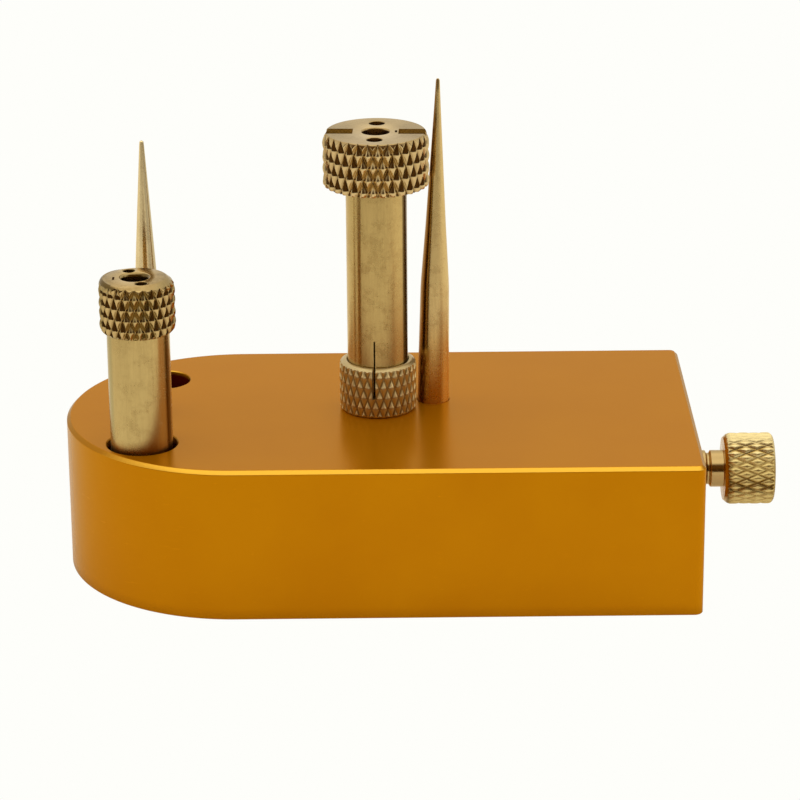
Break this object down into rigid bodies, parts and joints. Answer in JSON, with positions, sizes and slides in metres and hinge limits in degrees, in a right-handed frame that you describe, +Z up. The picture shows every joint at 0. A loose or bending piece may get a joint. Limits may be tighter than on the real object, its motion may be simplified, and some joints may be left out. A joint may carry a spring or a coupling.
{
  "type": "watch balance stand",
  "caption": "D-shaped anodised bench block with upright tapered tacks, a clamped bored post with knurled head, a parked slim post and a side thumb screw.",
  "frame": {"origin": "centre of the block's flat underside, on the surface it stands on", "axes": "+X along the block towards its square end with the thumb screw, +Y towards the back (the slim post is at the front), +Z up along the posts"},
  "size_m": [0.0737, 0.0358, 0.0507],
  "materials": {
    "anodised_block": "gold anodised, satin with fine brushing on the sides, polished chamfer",
    "post_brass": "bright turned",
    "knurled_brass": "bright, diamond knurled",
    "collar_brass": "pale, fine knurled",
    "tack_brass": "bright turned taper",
    "screw_brass": "bright, diamond knurled",
    "pin_brass": "plain turned"
  },
  "bodies": {
    "root": {"base_block": "anodised_block", "right_tack": "tack_brass", "rear_tack": "tack_brass"},
    "push_rod": {"clamp_pin": "pin_brass"},
    "screw": {"thumb_screw": "screw_brass"},
    "post_collar": {"main_post_collar": "collar_brass"},
    "main_post": {"main_post_tube": "post_brass", "main_post_head": "knurled_brass"},
    "slim_post": {"slim_post_tube": "post_brass", "slim_post_cap": "knurled_brass"}
  },
  "joints": [
    {"name": "pin_slide", "type": "slide", "parent": "root", "child": "push_rod", "axis": [1, 0, 0], "range_m": [0, 0.0021]},
    {"name": "screw_turn", "type": "hinge", "parent": "push_rod", "child": "screw", "pos_m": [0.036, 0.0006, 0.00872], "axis": [1, 0, 0], "range_deg": [0, 1080]},
    {"name": "collar_turn", "type": "hinge", "parent": "root", "child": "post_collar", "pos_m": [-0.00017, 0.0006, 0.016], "axis": [0, 0, 1], "continuous": true},
    {"name": "post_slide", "type": "slide", "parent": "post_collar", "child": "main_post", "axis": [0, 0, 1], "range_m": [0, 0.008]},
    {"name": "slim_lift", "type": "slide", "parent": "root", "child": "slim_post", "axis": [0, 0, 1], "range_m": [0, 0.015]}
  ],
  "couplings": [
    {"joint": "screw_turn", "follows": "pin_slide", "rad_per_m": 8975.9}
  ]
}
